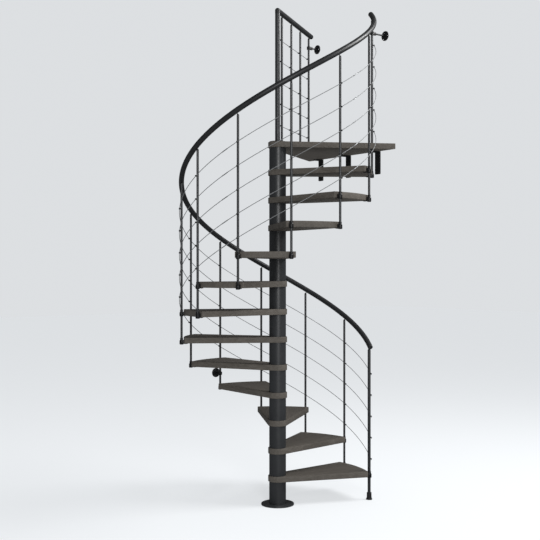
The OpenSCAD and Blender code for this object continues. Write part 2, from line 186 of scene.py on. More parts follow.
def powder_coat_group():
    """Coat of baked powder: fine orange peel, and a tone and gloss that drift a little."""
    group = bpy.data.node_groups.new("powder_coat", "ShaderNodeTree")
    for label, kind in (("Vector", "NodeSocketVector"), ("Colour", "NodeSocketColor"),
                        ("Gloss", "NodeSocketFloat"), ("Peel", "NodeSocketFloat")):
        group.interface.new_socket(label, in_out="INPUT", socket_type=kind)
    for label, kind in (("Colour", "NodeSocketColor"), ("Roughness", "NodeSocketFloat"),
                        ("Normal", "NodeSocketVector")):
        group.interface.new_socket(label, in_out="OUTPUT", socket_type=kind)
    given = group.nodes.new("NodeGroupInput")
    drift = add_node(group, "ShaderNodeTexNoise", {"Vector": given.outputs["Vector"],
                                                   "Scale": 6.0, "Detail": 3.0})
    tone = add_node(group, "ShaderNodeMapRange", {"Value": drift.outputs["Fac"], "From Min": 0.3,
                                                  "From Max": 0.7, "To Min": 0.86, "To Max": 1.14})
    colour = add_node(group, "ShaderNodeVectorMath", {0: given.outputs["Colour"]},
                      operation="SCALE")
    group.links.new(tone.outputs["Result"], colour.inputs["Scale"])
    smudge = add_node(group, "ShaderNodeTexNoise", {"Vector": given.outputs["Vector"],
                                                    "Scale": 38.0, "Detail": 4.0})
    spread = add_node(group, "ShaderNodeMapRange", {"Value": smudge.outputs["Fac"],
                                                    "From Min": 0.3, "From Max": 0.7,
                                                    "To Min": -0.05, "To Max": 0.05})
    gloss = add_node(group, "ShaderNodeMath", {0: given.outputs["Gloss"],
                                               1: spread.outputs["Result"]}, operation="ADD")
    peel = add_node(group, "ShaderNodeTexNoise", {"Vector": given.outputs["Vector"],
                                                  "Scale": 1100.0, "Detail": 2.0})
    bump = add_node(group, "ShaderNodeBump", {"Height": peel.outputs["Fac"],
                                              "Strength": given.outputs["Peel"],
                                              "Distance": 0.15 * MM})
    result = group.nodes.new("NodeGroupOutput")
    group.links.new(colour.outputs["Vector"], result.inputs["Colour"])
    group.links.new(gloss.outputs["Value"], result.inputs["Roughness"])
    group.links.new(bump.outputs["Normal"], result.inputs["Normal"])
    return group


powder_coat = powder_coat_group()


def coated(name, colour, gloss, peel, specular):
    """A coated or moulded finish from the shared powder coat."""
    material, tree, shader = new_material(name)
    place = add_node(tree, "ShaderNodeTexCoord")
    coat = add_node(tree, "ShaderNodeGroup", node_tree=powder_coat)
    tree.links.new(place.outputs["Object"], coat.inputs["Vector"])
    coat.inputs["Colour"].default_value = (*colour, 1)
    coat.inputs["Gloss"].default_value = gloss
    coat.inputs["Peel"].default_value = peel
    tree.links.new(coat.outputs["Colour"], shader.inputs["Base Color"])
    tree.links.new(coat.outputs["Roughness"], shader.inputs["Roughness"])
    tree.links.new(coat.outputs["Normal"], shader.inputs["Normal"])
    shader.inputs["Specular IOR Level"].default_value = specular
    return material


anthracite = coated("anthracite_powder_coat", (0.0205, 0.0217, 0.0235), 0.40, 0.05, 0.48)

base_plate = turned("floor_plate", [
    (0, 0), (plate_radius - 1 * MM, 0), (plate_radius, 1 * MM),
    (plate_radius, plate_top - 3 * MM), (plate_radius - 0.9 * MM, plate_top - 0.9 * MM),
    (plate_radius - 3 * MM, plate_top), (0, plate_top)], 128)
for quarter in range(4):
    turn = math.radians(45 + 90 * quarter)
    x, y = (ANCHOR_CIRCLE / 2 * math.cos(turn), ANCHOR_CIRCLE / 2 * math.sin(turn))
    combine(base_plate, rod(ANCHOR_HOLE / 2, (x, y, -10 * MM), (x, y, plate_top + 10 * MM)),
            "DIFFERENCE")
base_plate.data.materials.append(anthracite)
fit(base_plate, "anthracite_steel", "base_plate")

# ---------------------------------------------------------------- column
# Thirteen tube sleeves are stacked with the treads' hubs between them, threaded on one inner
# pole that clamps the stack from the base plate to the landing. The pole keeps its CAD form.
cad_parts["centre_pole"].data.materials.clear()
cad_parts["centre_pole"].data.materials.append(anthracite)
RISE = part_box("tread_02")[1].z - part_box("tread_01")[1].z
TREAD_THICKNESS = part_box("tread_01")[1].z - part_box("tread_01")[0].z
column_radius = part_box("column_sleeves")[1].x
SLEEVE_WALL = 3 * MM
SLEEVE_CHAMFER = 0.7 * MM
sleeve_length = RISE - TREAD_THICKNESS


def copies_of(master, places):
    """Copies a piece to each (turn about Z, position), joins the copies and drops the master."""
    made = []
    for turn, position in places:
        bpy.ops.object.select_all(action="DESELECT")
        master.select_set(True)
        bpy.context.view_layer.objects.active = master
        bpy.ops.object.duplicate()
        copy = bpy.context.object
        copy.rotation_euler.z = turn
        copy.location = position
        made.append(copy)
    bpy.data.objects.remove(master)
    return joined(made)


def joined(pieces):
    """Joins pieces into one object."""
    bpy.ops.object.select_all(action="DESELECT")
    for piece in pieces:
        piece.select_set(True)
    bpy.context.view_layer.objects.active = pieces[0]
    if len(pieces) > 1:
        bpy.ops.object.join()
    return pieces[0]


def tube_profile(outer, wall, length, chamfer):
    """The closed section of a tube with chamfered outer ends."""
    inner = outer - wall
    return [(inner, 0), (outer - chamfer, 0), (outer, chamfer), (outer, length - chamfer),
            (outer - chamfer, length), (inner, length), (inner, 0)]


sleeve = turned("sleeve", tube_profile(column_radius, SLEEVE_WALL, sleeve_length,
                                       SLEEVE_CHAMFER), 112)
sleeves = copies_of(sleeve, [(0, (0, 0, plate_top + RISE * level)) for level in range(13)])
sleeves.name = "column_tube_sleeves"
sleeves.data.materials.append(anthracite)
fit(sleeves, "anthracite_steel", "column_sleeves")

# ---------------------------------------------------------------- treads
# Each tread is a wedge of glued staves, sawn to a round hub, rounded at its outer corners and
# eased along its edges, then stained dark grey-brown. It lies clamped between two sleeves.
baluster_places = []
for number in range(13):
    low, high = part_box(f"baluster_{number:02d}")
    baluster_places.append(((low.x + high.x) / 2, (low.y + high.y) / 2))
start_angle = math.atan2(baluster_places[0][1], baluster_places[0][0])
baluster_circle = math.hypot(*baluster_places[0])
STEP = math.radians(29.43)
NOSING = math.radians(2.85)
CORNER_RADIUS = 10 * MM
EASED_EDGE = 2.5 * MM
BORE_RADIUS = 15.25 * MM
tread_radius = max(v.co.xy.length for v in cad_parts["tread_01"].data.vertices)
hub_radius = -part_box("landing")[0].x


def pick_edges(piece, wanted):
    """Opens a piece for editing with the edges selected whose two ends pass the test."""
    mesh = piece.data
    for part in (mesh.vertices, mesh.edges, mesh.polygons):
        part.foreach_set("select", [False] * len(part))
    for edge in mesh.edges:
        edge.select = wanted(*(mesh.vertices[i].co for i in edge.vertices))
    bpy.ops.object.select_all(action="DESELECT")
    piece.select_set(True)
    bpy.context.view_layer.objects.active = piece
    bpy.context.tool_settings.mesh_select_mode = (False, True, False)
    bpy.ops.object.mode_set(mode="EDIT")


def board(name, hub_from, hub_turn, corners, edge_arc):
    """A flat board: an arc of the hub circle, then straight runs to the corners.

    Where edge_arc isn't zero, the last corner is reached by an arc of that angle round the
    column instead. The board is filled, thickened, and bored for the pole."""
    bpy.ops.object.select_all(action="DESELECT")
    bpy.context.tool_settings.mesh_select_mode = (True, False, False)
    bpy.ops.mesh.primitive_plane_add(size=MM)
    piece = bpy.context.object
    piece.name = name
    bpy.ops.object.mode_set(mode="EDIT")
    bpy.ops.mesh.merge(type="CENTER")
    spot = Vector((hub_radius * math.cos(hub_from), hub_radius * math.sin(hub_from), 0))
    bpy.ops.transform.translate(value=spot)
    bpy.ops.mesh.spin(steps=40, angle=hub_turn, center=(0, 0, 0), axis=(0, 0, -1))
    end = hub_from + hub_turn
    spot = Vector((hub_radius * math.cos(end), hub_radius * math.sin(end), 0))
    for corner in corners:
        bpy.ops.mesh.extrude_vertices_move(
            TRANSFORM_OT_translate={"value": Vector((*corner, 0)) - spot})
        spot = Vector((*corner, 0))
    if edge_arc:
        bpy.ops.mesh.spin(steps=40, angle=edge_arc, center=(0, 0, 0), axis=(0, 0, -1))
    bpy.ops.mesh.select_all(action="SELECT")
    bpy.ops.mesh.edge_face_add()
    bpy.ops.mesh.extrude_region_move(TRANSFORM_OT_translate={"value": (0, 0, TREAD_THICKNESS)})
    bpy.ops.mesh.select_all(action="SELECT")
    bpy.ops.mesh.normals_make_consistent(inside=False)
    bpy.ops.object.mode_set(mode="OBJECT")
    combine(piece, rod(BORE_RADIUS, (0, 0, -10 * MM), (0, 0, TREAD_THICKNESS + 10 * MM)),
            "DIFFERENCE")
    return piece


def ease_edges(piece):
    """Rounds the board's upper and lower outlines, leaving its bores sharp."""
    def on_outline(a, b):
        level = abs(a.z - b.z) < 0.1 * MM
        face = min(abs(a.z), abs(a.z - TREAD_THICKNESS)) < 0.1 * MM
        return level and face and min(a.xy.length, b.xy.length) > 2 * BORE_RADIUS
    pick_edges(piece, on_outline)
    bpy.ops.mesh.bevel(offset=EASED_EDGE, segments=3, affect="EDGES", clamp_overlap=True)
    bpy.ops.object.mode_set(mode="OBJECT")


def mark_grain(piece, along, shift):
    """Keeps each point's place in the sawn board, for the grain: x runs along the fibres."""
    grain = piece.data.attributes.new("board", "FLOAT_VECTOR", "POINT")
    turn = math.cos(along), math.sin(along)
    for point, vertex in zip(grain.data, piece.data.vertices):
        x, y, z = vertex.co
        point.vector = (turn[0] * x + turn[1] * y + shift[0],
                        turn[0] * y - turn[1] * x + shift[1], z + shift[2])


def stained_wood_material():
    """Dark stained hardwood of glued staves: long streaks, fine fibres, and short open pores."""
    material, tree, shader = new_material("dark_stained_wood")
    place = add_node(tree, "ShaderNodeAttribute", attribute_name="board")
    apart = add_node(tree, "ShaderNodeSeparateXYZ", {"Vector": place.outputs["Vector"]})
    stave = add_node(tree, "ShaderNodeMath", {0: apart.outputs["Y"], 1: 58 * MM},
                     operation="DIVIDE")
    number = add_node(tree, "ShaderNodeMath", {0: stave.outputs["Value"]}, operation="FLOOR")
    tone = add_node(tree, "ShaderNodeTexWhiteNoise", {"W": number.outputs["Value"]},
                    noise_dimensions="1D")
    away = add_node(tree, "ShaderNodeMath", {0: tone.outputs["Value"], 1: 7.0},
                    operation="MULTIPLY")
    moved = add_node(tree, "ShaderNodeCombineXYZ", {"X": away.outputs["Value"],
                                                    "Z": away.outputs["Value"]})
    own = add_node(tree, "ShaderNodeVectorMath", {0: place.outputs["Vector"],
                                                  1: moved.outputs["Vector"]})

    def stretched(scale, detail, rough):
        run = add_node(tree, "ShaderNodeVectorMath", {0: own.outputs["Vector"], 1: scale},
                       operation="MULTIPLY")
        return add_node(tree, "ShaderNodeTexNoise",
                        {"Vector": run.outputs["Vector"], "Scale": 1.0, "Detail": detail,
                         "Roughness": rough, "Distortion": 0.35})

    streak = stretched((1.6, 95, 60), 5.0, 0.55)
    fibre = stretched((9, 420, 420), 3.0, 0.6)
    pore = stretched((60, 1100, 1100), 1.0, 0.5)
    ramp = add_node(tree, "ShaderNodeValToRGB", {"Fac": streak.outputs["Fac"]})
    ramp.color_ramp.elements[0].position = 0.30
    ramp.color_ramp.elements[0].color = (0.068, 0.060, 0.051, 1)
    ramp.color_ramp.elements[1].position = 0.70
    ramp.color_ramp.elements[1].color = (0.096, 0.086, 0.075, 1)
    middle = ramp.color_ramp.elements.new(0.5)
    middle.color = (0.081, 0.072, 0.062, 1)
    fine = add_node(tree, "ShaderNodeMapRange", {"Value": fibre.outputs["Fac"], "From Min": 0.3,
                                                 "From Max": 0.7, "To Min": 0.84, "To Max": 1.16})
    tint = add_node(tree, "ShaderNodeMapRange", {"Value": tone.outputs["Value"],
                                                 "To Min": 0.93, "To Max": 1.07})
    strength = add_node(tree, "ShaderNodeMath", {0: fine.outputs["Result"],
                                                 1: tint.outputs["Result"]},
                        operation="MULTIPLY")
    open_pore = add_node(tree, "ShaderNodeMapRange", {"Value": pore.outputs["Fac"],
                                                      "From Min": 0.60, "From Max": 0.68,
                                                      "To Min": 1.0, "To Max": 0.62})
    dark = add_node(tree, "ShaderNodeMath", {0: strength.outputs["Value"],
                                             1: open_pore.outputs["Result"]},
                    operation="MULTIPLY")
    colour = add_node(tree, "ShaderNodeVectorMath", {0: ramp.outputs["Color"]},
                      operation="SCALE")
    tree.links.new(dark.outputs["Value"], colour.inputs["Scale"])
    tree.links.new(colour.outputs["Vector"], shader.inputs["Base Color"])
    sheen = add_node(tree, "ShaderNodeMapRange", {"Value": fibre.outputs["Fac"],
                                                  "To Min": 0.54, "To Max": 0.70})
    tree.links.new(sheen.outputs["Result"], shader.inputs["Roughness"])
    relief = add_node(tree, "ShaderNodeMath", {0: fine.outputs["Result"],
                                               1: open_pore.outputs["Result"]},
                      operation="MULTIPLY")
    bump = add_node(tree, "ShaderNodeBump", {"Height": relief.outputs["Value"],
                                             "Strength": 0.35, "Distance": 0.25 * MM})
    tree.links.new(bump.outputs["Normal"], shader.inputs["Normal"])
    shader.inputs["Specular IOR Level"].default_value = 0.20
    return material


stained_wood = stained_wood_material()
half_turn = STEP / 2 + NOSING
side_angle = half_turn + math.acos(hub_radius / tread_radius)
lower_corner = (tread_radius * math.cos(half_turn), -tread_radius * math.sin(half_turn))
for number in range(1, 13):
    tread = board(f"wood_tread_{number:02d}", side_angle, math.tau - 2 * side_angle,
                  [lower_corner], 2 * half_turn)
    pick_edges(tread, lambda a, b: (a.xy - b.xy).length < 0.1 * MM
               and abs(a.xy.length - tread_radius) < 0.1 * MM
               and abs(abs(math.atan2(a.y, a.x)) - half_turn) < 0.001)
    bpy.ops.mesh.bevel(offset=CORNER_RADIUS, segments=6, affect="EDGES")
    bpy.ops.object.mode_set(mode="OBJECT")
    ease_edges(tread)
    mark_grain(tread, 0, (0.37 * number, 0.611 * number, 0.073 * number))
    tread.rotation_euler.z = start_angle + STEP * (number - 0.5)
    tread.location.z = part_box(f"tread_{number:02d}")[0].z
    tread.data.materials.append(stained_wood)
    fit(tread, "stained_wood", f"tread_{number:02d}")

# ---------------------------------------------------------------- landing
# The landing is a larger board of the same staves, straight along the wall and round at the
# hub. Its nose follows a tread's, and the stair's last baluster passes through it in a bush.
landing_low, landing_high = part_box("landing")
wall_side = [v.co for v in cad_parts["landing"].data.vertices
             if v.co.x > landing_high.x - 0.1 * MM]
nose_corner = Vector((landing_high.x, min(v.y for v in wall_side)))
rear_corner = Vector((landing_high.x, max(v.y for v in wall_side)))


def tangent_angle(corner, side):
    """Direction of the point where a line from a corner touches the hub circle."""
    return math.atan2(corner.y, corner.x) + side * math.acos(hub_radius / corner.length)


rear_tangent = tangent_angle(rear_corner, 1)
nose_tangent = tangent_angle(nose_corner, -1) + math.tau
landing = board("wood_landing", rear_tangent, nose_tangent - rear_tangent,
                [nose_corner, rear_corner], 0)
BUSH_BORE = 12.4 * MM
last_x, last_y = baluster_places[12]
combine(landing, rod(BUSH_BORE, (last_x, last_y, -10 * MM),
                     (last_x, last_y, TREAD_THICKNESS + 10 * MM)), "DIFFERENCE")


def clear_of_bush(a, b):
    """True for the landing's outline, away from its bores."""
    level = abs(a.z - b.z) < 0.1 * MM
    face = min(abs(a.z), abs(a.z - TREAD_THICKNESS)) < 0.1 * MM
    bush = Vector((last_x, last_y))
    return (level and face and min(a.xy.length, b.xy.length) > 2 * BORE_RADIUS
            and min((a.xy - bush).length, (b.xy - bush).length) > 1.5 * BUSH_BORE)


pick_edges(landing, clear_of_bush)
bpy.ops.mesh.bevel(offset=EASED_EDGE, segments=3, affect="EDGES", clamp_overlap=True)
bpy.ops.object.mode_set(mode="OBJECT")
mark_grain(landing, 0, (3.1, 5.3, 0.4))
landing.location.z = landing_low.z
landing.data.materials.append(stained_wood)
fit(landing, "stained_wood", "landing")

# ---------------------------------------------------------------- balusters
# Each baluster is one length of thin tube with its ends deburred, and the first is the widest.
# It hangs past the edges of two treads that follow each other, and carries the rail and cables.
BALUSTER_WALL = 1.5 * MM
baluster_tops = []
baluster_radii = []
for number in range(13):
    low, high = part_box(f"baluster_{number:02d}")
    radius = (high.x - low.x) / 2
    tube = turned(f"baluster_tube_{number:02d}",
                  tube_profile(radius, BALUSTER_WALL, high.z - low.z, 0.4 * MM), 40)
    tube.location = (*baluster_places[number], low.z)
    tube.data.materials.append(anthracite)
    fit(tube, "anthracite_steel", f"baluster_{number:02d}")
    baluster_tops.append(high.z)
    baluster_radii.append(radius)

black_rubber = coated("black_rubber", (0.012, 0.012, 0.013), 0.68, 0.6, 0.25)
foot_low, foot_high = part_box("start_foot")
foot_radius = (foot_high.x - foot_low.x) / 2
foot_height = foot_high.z
TUBE_FIT = 0.2 * MM
SOCKET_FLOOR = 4 * MM
foot_bore = baluster_radii[0] + TUBE_FIT
start_foot = turned("rubber_foot", [
    (0, 0), (foot_radius - 1.5 * MM, 0), (foot_radius, 1.5 * MM), (foot_radius, 5 * MM),
    (foot_radius - 0.8 * MM, 6.6 * MM), (foot_radius - 3.2 * MM, 12.5 * MM),
    (foot_radius - 4.7 * MM, 17 * MM), (foot_radius - 5.3 * MM, 20 * MM),
    (foot_radius - 5.9 * MM, foot_height - 4 * MM), (foot_radius - 6.8 * MM, foot_height - 1.6 * MM),
    (foot_radius - 8.6 * MM, foot_height), (foot_bore, foot_height),
    (foot_bore, SOCKET_FLOOR), (0, SOCKET_FLOOR)], 72)
start_foot.location = (*baluster_places[0], 0)
start_foot.data.materials.append(black_rubber)
fit(start_foot, "black_rubber", "start_foot")

# ---------------------------------------------------------------- handrail
# The round rail climbs over the balusters as a helix, jointed end to end from eight bent
# sections. Each joint shows as a fine groove, and the rail's two ends are rounded over.
satin_black = coated("satin_black_rail", (0.0150, 0.0156, 0.0166), 0.44, 0.02, 0.34)
RAIL_JOINTS = [0.645, 2.42, 4.195, 5.97, 7.745, 9.52, 11.295]
JOINT_CHAMFER = 0.7 * MM
END_ROUNDING = 5 * MM
rail_radius = 20.5 * MM
rail_height = 1253 * MM
start_overrun = 35 * MM / (baluster_circle * STEP)
end_overrun = 50 * MM / (baluster_circle * STEP)


def helix_slope(radius):
    """Angle at which a helix of that radius climbs, one rise for each step."""
    return math.atan2(RISE, radius * STEP)


def on_end(point, radius, level):
    """True where a point lies in the square cut across a helix at that many steps."""
    turn, slope = STEP * level, helix_slope(radius)
    centre = Vector((radius * math.cos(turn), radius * math.sin(turn), RISE * level))
    along = Vector((-math.sin(turn) * math.cos(slope), math.cos(turn) * math.cos(slope),
                    math.sin(slope)))
    return abs((point - centre).dot(along)) < 0.02 * MM and (point - centre).length < radius / 4


def helix_rod(name, radius, thickness, height, start, end, sides, steps_each):
    """Sweeps a round section up the stair's helix, between two places counted in steps."""
    slope = helix_slope(radius)
    bpy.ops.object.select_all(action="DESELECT")
    bpy.ops.mesh.primitive_circle_add(vertices=sides, radius=thickness,
                                      location=(radius, 0, 0), rotation=(slope - math.pi / 2, 0, 0))
    bpy.ops.object.transform_apply(location=True, rotation=True, scale=True)
    piece = bpy.context.object
    piece.name = name
    sweep = piece.modifiers.new("sweep", "SCREW")
    sweep.angle = STEP * (end - start)
    sweep.screw_offset = RISE * (end - start)
    sweep.steps = sweep.render_steps = max(2, round(steps_each * (end - start)))
    bpy.ops.object.modifier_apply(modifier=sweep.name)
    bpy.context.tool_settings.mesh_select_mode = (True, False, False)
    bpy.ops.object.mode_set(mode="EDIT")
    bpy.ops.mesh.select_all(action="SELECT")
    bpy.ops.mesh.fill_holes(sides=0)
    bpy.ops.mesh.select_all(action="SELECT")
    bpy.ops.mesh.normals_make_consistent(inside=False)
    bpy.ops.object.mode_set(mode="OBJECT")
    piece.rotation_euler.z = start_angle + STEP * start
    piece.location.z = height + RISE * start
    return piece


rail_cuts = [-start_overrun, *RAIL_JOINTS, 12 + end_overrun]
sections = []
for number, (start, end) in enumerate(zip(rail_cuts, rail_cuts[1:])):
    section = helix_rod("rail_section", baluster_circle, rail_radius, rail_height, start, end,
                        40, 20)
    for level, outer in ((0, number == 0), (end - start, number == len(RAIL_JOINTS))):
        pick_edges(section, lambda a, b: on_end(a, baluster_circle, level)
                   and on_end(b, baluster_circle, level))
        bpy.ops.mesh.bevel(offset=END_ROUNDING if outer else JOINT_CHAMFER,
                           segments=4 if outer else 1, affect="EDGES")
        bpy.ops.object.mode_set(mode="OBJECT")
    sections.append(section)
handrail = joined(sections)
handrail.name = "helical_handrail"
handrail.data.materials.append(satin_black)
fit(handrail, "black_rail", "handrail")

# ---------------------------------------------------------------- landing railing
# A newel stands over the column on a foot disc. A straight rail runs out from it with a round
# elbow, over four balusters that stand in feet on the landing.
fittings_black = coated("black_fittings", (0.0075, 0.0078, 0.0085), 0.42, 0.15, 0.26)
newel_low, newel_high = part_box("newel")
NEWEL_WALL = 2.5 * MM
newel = turned("newel_post", tube_profile(newel_high.x, NEWEL_WALL, newel_high.z - newel_low.z,
                                          0.5 * MM), 64)
newel.location.z = newel_low.z
newel.data.materials.append(anthracite)
fit(newel, "anthracite_steel", "newel")

disc_low, disc_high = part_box("newel_disc")
disc_radius = disc_high.x
disc_thickness = disc_high.z - disc_low.z
disc = turned("newel_foot_disc", [
    (BORE_RADIUS, 0), (disc_radius, 0), (disc_radius, disc_thickness - 2 * MM),
    (disc_radius - 0.6 * MM, disc_thickness - 0.6 * MM), (disc_radius - 2 * MM, disc_thickness),
    (BORE_RADIUS, disc_thickness), (BORE_RADIUS, 0)], 112)
disc.location.z = disc_low.z
disc.data.materials.append(fittings_black)
fit(disc, "black_fittings", "newel_disc")

LANDING_TURN = math.radians(33.2)
LANDING_RAIL_LENGTH = 903 * MM
landing_rail_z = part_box("landing_rail")[1].z - rail_radius
elbow_end = landing_rail_z - newel_high.z


def on_landing_rail(distance, aside=0.0):
    """Plan place on the landing rail's line, or that far to its outer side."""
    return (distance * math.cos(LANDING_TURN) - aside * math.sin(LANDING_TURN),
            distance * math.sin(LANDING_TURN) + aside * math.cos(LANDING_TURN))


BALL = [(rail_radius * math.cos(math.radians(a)), rail_radius * math.sin(math.radians(a)))
        for a in range(0, 90, 6)] + [(0, rail_radius)]
elbow = turned("elbow", [(0, -elbow_end), (rail_radius - JOINT_CHAMFER, -elbow_end),
                         (rail_radius, JOINT_CHAMFER - elbow_end), *BALL], 60)
run = turned("run", [(0, 0), (rail_radius, 0), (rail_radius, LANDING_RAIL_LENGTH - END_ROUNDING)]
             + [(rail_radius - END_ROUNDING * (1 - math.cos(math.radians(a))),
                 LANDING_RAIL_LENGTH - END_ROUNDING * (1 - math.sin(math.radians(a))))
                for a in (22.5, 45, 67.5, 90)] + [(0, LANDING_RAIL_LENGTH)], 60)
run.rotation_euler = (0, math.pi / 2, LANDING_TURN)
combine(elbow, run, "UNION")
elbow.name = "straight_landing_rail"
elbow.location.z = landing_rail_z
elbow.data.materials.append(satin_black)
fit(elbow, "black_rail", "landing_rail")

LANDING_BALUSTERS = [104 * MM + 241 * MM * number for number in range(4)]
posts_low, posts_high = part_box("landing_balusters")
post_radius = baluster_radii[1]
post = turned("post", tube_profile(post_radius, BALUSTER_WALL, posts_high.z - posts_low.z,
                                   0.4 * MM), 40)
posts = copies_of(post, [(0, (*on_landing_rail(along), posts_low.z))
                         for along in LANDING_BALUSTERS])
posts.name = "landing_baluster_tubes"
posts.data.materials.append(anthracite)
fit(posts, "anthracite_steel", "landing_balusters")

feet_low, feet_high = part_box("landing_feet")
feet_radius = 18 * MM
feet_height = feet_high.z - feet_low.z
feet_floor = posts_low.z - feet_low.z
foot = turned("foot", [
    (0, 0), (feet_radius, 0), (feet_radius, feet_height - 3 * MM),
    (feet_radius - 0.9 * MM, feet_height - 0.9 * MM), (feet_radius - 3 * MM, feet_height),
    (post_radius + TUBE_FIT, feet_height), (post_radius + TUBE_FIT, feet_floor),
    (0, feet_floor)], 56)
feet = copies_of(foot, [(0, (*on_landing_rail(along), feet_low.z))
                        for along in LANDING_BALUSTERS])
feet.name = "landing_baluster_feet"
feet.data.materials.append(fittings_black)
fit(feet, "black_fittings", "landing_feet")

# ---------------------------------------------------------------- rail caps
# A half ball closes each baluster's tube, and a pin from it leans with the rail and holds it.
PIN_RADIUS = 3.5 * MM
PIN_SHOWS = 5.8 * MM
CAP_INSET = 0.5 * MM


def rail_cap(size, lean):
    """A half ball on a tube's end, and its pin, leaning by that angle."""
    ball = size - CAP_INSET
    arc = [(ball * math.cos(math.radians(a)), ball * math.sin(math.radians(a)))
           for a in range(0, 90, 10)]
    cap = turned("cap", [(0, 0), *arc, (0, ball)], 40)
    foot_of_pin = ball / 2
    direction = Vector((0, -math.sin(lean), math.cos(lean)))
    pin = rod(PIN_RADIUS, direction * foot_of_pin, direction * (ball + PIN_SHOWS), 24)
    combine(cap, pin, "UNION")
    return cap


rail_slope = helix_slope(baluster_circle)
first_cap = copies_of(rail_cap(baluster_radii[0], rail_slope),
                      [(start_angle, (*baluster_places[0], baluster_tops[0]))])
leaning_caps = copies_of(rail_cap(post_radius, rail_slope), [
    (start_angle + STEP * number, (*baluster_places[number], baluster_tops[number]))
    for number in range(1, 13)])
upright_caps = copies_of(rail_cap(post_radius, 0), [
    (0, (*on_landing_rail(along), posts_high.z)) for along in LANDING_BALUSTERS])
caps = joined([first_cap, leaning_caps, upright_caps])
caps.name = "ball_rail_caps"
caps.data.materials.append(fittings_black)
fit(caps, "black_fittings", "rail_caps")

# ---------------------------------------------------------------- tread clamps
# A cast clamp grips each baluster at the edge of a tread: a bulbous ring with a thin neck on
# top, a block that lies on the tread's edge, and a rounded tongue that is screwed up into the
# tread. The lower clamp of a baluster is a socket with a domed floor.
CLAMP_WALL = 7 * MM
CLAMP_HEIGHT = 36 * MM
CLAMP_DROP = 10 * MM
CLAMP_WIDTH = 28 * MM
TONGUE = 5 * MM
TONGUE_REACH = 48 * MM
NECK_WALL = 2.5 * MM
NECK_TOP = TREAD_THICKNESS + CLAMP_DROP - 3 * MM
SCREW_PLACE = -33 * MM
BLOCK_DEPTH = baluster_circle - tread_radius + 0.2 * MM


def block(size, centre):
    """A rectangular block, given its size and its centre."""
    bpy.ops.object.select_all(action="DESELECT")
    bpy.ops.mesh.primitive_cube_add(size=1, location=centre)
    piece = bpy.context.object
    piece.scale = size
    bpy.ops.object.transform_apply(location=True, rotation=True, scale=True)
    return piece


def tread_clamp(size, socket):
    """One clamp at the origin, pointing away from the column along +X."""
    bore = size + TUBE_FIT
    outer = bore + CLAMP_WALL
    neck = bore + NECK_WALL
    arm = block((TONGUE_REACH - CLAMP_WIDTH / 2, CLAMP_WIDTH, TONGUE),
                (-(TONGUE_REACH - CLAMP_WIDTH / 2) / 2, 0, CLAMP_DROP - TONGUE / 2))
    tip = rod(CLAMP_WIDTH / 2, (CLAMP_WIDTH / 2 - TONGUE_REACH, 0, CLAMP_DROP - TONGUE),
              (CLAMP_WIDTH / 2 - TONGUE_REACH, 0, CLAMP_DROP), 48)
    combine(arm, tip, "UNION")
    body = block((BLOCK_DEPTH, CLAMP_WIDTH, CLAMP_HEIGHT - CLAMP_DROP + TONGUE),
                 (-BLOCK_DEPTH / 2, 0, (CLAMP_HEIGHT + CLAMP_DROP - TONGUE) / 2))
    combine(arm, body, "UNION")
    combine(arm, rod(2.5 * MM, (SCREW_PLACE, 0, 0), (SCREW_PLACE, 0, 30 * MM), 24), "DIFFERENCE")
    edge = rod(tread_radius + 0.2 * MM, (-baluster_circle, 0, CLAMP_DROP),
               (-baluster_circle, 0, 2 * CLAMP_HEIGHT), 720)
    combine(arm, edge, "DIFFERENCE")
    pick_edges(arm, lambda a, b: True)
    bpy.ops.mesh.select_all(action="DESELECT")
    bpy.ops.mesh.edges_select_sharp(sharpness=math.radians(50))
    bpy.ops.mesh.bevel(offset=0.8 * MM, segments=2, affect="EDGES", clamp_overlap=True)
    bpy.ops.object.mode_set(mode="OBJECT")
    ring = turned("ring", [
        (0, 0), (outer - 4.5 * MM, 0), (outer - 1.6 * MM, 1.3 * MM), (outer - 0.4 * MM, 4 * MM),
        (outer, 8 * MM), (outer, CLAMP_HEIGHT - 10 * MM),
        (outer - 0.5 * MM, CLAMP_HEIGHT - 6 * MM), (outer - 1.8 * MM, CLAMP_HEIGHT - 2.8 * MM),
        (outer - 3.4 * MM, CLAMP_HEIGHT - 0.8 * MM), (neck + 0.5 * MM, CLAMP_HEIGHT),
        (neck, CLAMP_HEIGHT + 0.8 * MM), (neck, NECK_TOP - 0.6 * MM),
        (neck - 0.6 * MM, NECK_TOP), (0, NECK_TOP)], 56)
    combine(ring, arm, "UNION")
    floor_level = SOCKET_FLOOR if socket else -10 * MM
    combine(ring, rod(bore, (0, 0, floor_level), (0, 0, 2 * CLAMP_HEIGHT), 48), "DIFFERENCE")
    under = CLAMP_DROP - TONGUE
    screw = turned("tongue_screw", [
        (0, under - 2 * MM), (2.6 * MM, under - 1.9 * MM), (4 * MM, under - 1.1 * MM),
        (4.6 * MM, under), (2.3 * MM, under), (2.3 * MM, CLAMP_DROP), (0, CLAMP_DROP)], 24)
    screw.location.x = SCREW_PLACE
    return joined([ring, screw])


def clamp_place(baluster, level):
    """Turn and place of the clamp on a baluster at a tread or the landing."""
    bottom = plate_top + RISE * level - TREAD_THICKNESS - CLAMP_DROP
    return start_angle + STEP * baluster, (*baluster_places[baluster], bottom)


